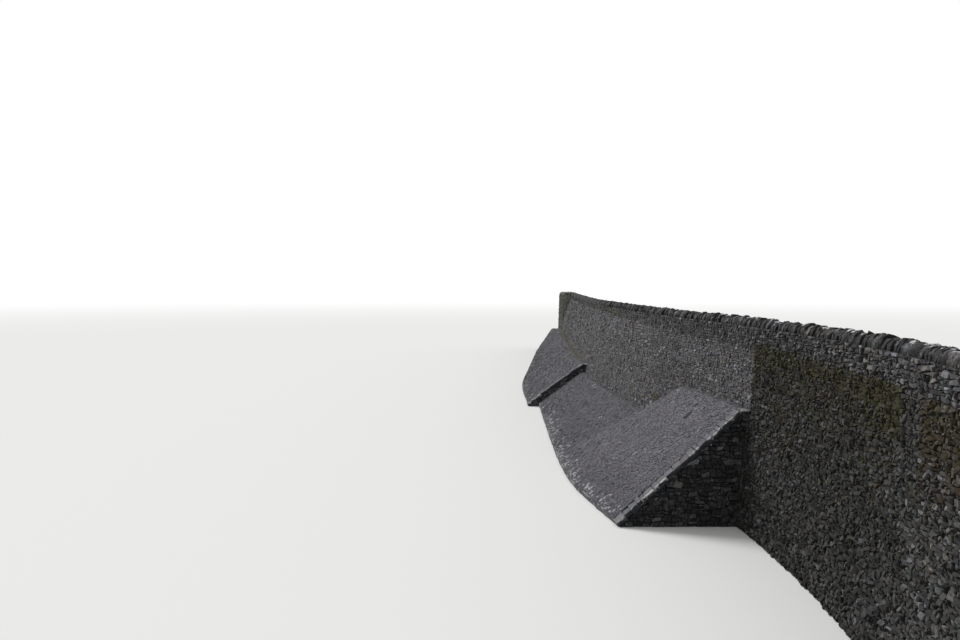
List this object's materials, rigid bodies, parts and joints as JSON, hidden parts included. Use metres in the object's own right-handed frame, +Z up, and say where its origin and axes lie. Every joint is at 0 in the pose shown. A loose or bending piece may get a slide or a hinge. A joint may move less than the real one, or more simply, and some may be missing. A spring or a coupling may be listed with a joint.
{
  "type": "dry stone embankment retaining wall with raking aprons, 1:10 scale model",
  "caption": "Leaning dry stone retaining wall with a plumb parapet, a cope of upright stones, raking pitched aprons, cheek walls and an end pier; 1:10 scale model.",
  "frame": {"origin": "middle of the level base of the wall, at the lowest ground level, in the middle of its bounding box", "axes": "+X along the wall towards the end that is near in the picture, -Y out of the leaning outer face, +Z up"},
  "size_m": [13.8, 1.04, 0.895],
  "materials": {
    "wall_stone": "rough coursed rubble limestone laid dry, grey with olive moss streaks",
    "parapet_stone": "rough dark grey rubble limestone laid dry",
    "cope_stone": "upright weathered limestone slabs with pale lichen on their tops",
    "pitching_stone": "grey limestone pitching laid dry on the slope, open dark joints",
    "cheek_stone": "large irregular dark weathered limestone blocks laid dry",
    "edge_stone": "pale lichened limestone blocks along the raking edge"
  },
  "bodies": {
    "root": {"near_outer_wall": "wall_stone", "near_outer_parapet": "parapet_stone", "near_outer_cope": "cope_stone", "near_inner_wall": "wall_stone", "near_inner_parapet": "parapet_stone", "near_inner_cope": "cope_stone", "first_bay_wall": "wall_stone", "first_bay_parapet": "parapet_stone", "first_bay_cope": "cope_stone", "second_bay_wall": "wall_stone", "second_bay_parapet": "parapet_stone", "second_bay_cope": "cope_stone", "third_bay_wall": "wall_stone", "third_bay_parapet": "parapet_stone", "third_bay_cope": "cope_stone", "fourth_bay_wall": "wall_stone", "fourth_bay_parapet": "parapet_stone", "fourth_bay_cope": "cope_stone", "end_pier_wall": "wall_stone", "end_pier_parapet": "parapet_stone", "end_pier_cope": "cope_stone", "first_apron_slope": "pitching_stone", "second_apron_slope": "pitching_stone", "third_apron_slope": "pitching_stone", "fourth_apron_slope": "pitching_stone", "first_apron_toe": "pitching_stone", "second_apron_toe": "pitching_stone", "third_apron_toe": "pitching_stone", "fourth_apron_toe": "pitching_stone", "first_apron_cheek": "cheek_stone", "third_apron_cheek": "cheek_stone", "fourth_apron_cheek": "cheek_stone", "first_apron_edge": "edge_stone", "third_apron_edge": "edge_stone", "fourth_apron_edge": "edge_stone"}
  },
  "joints": []
}
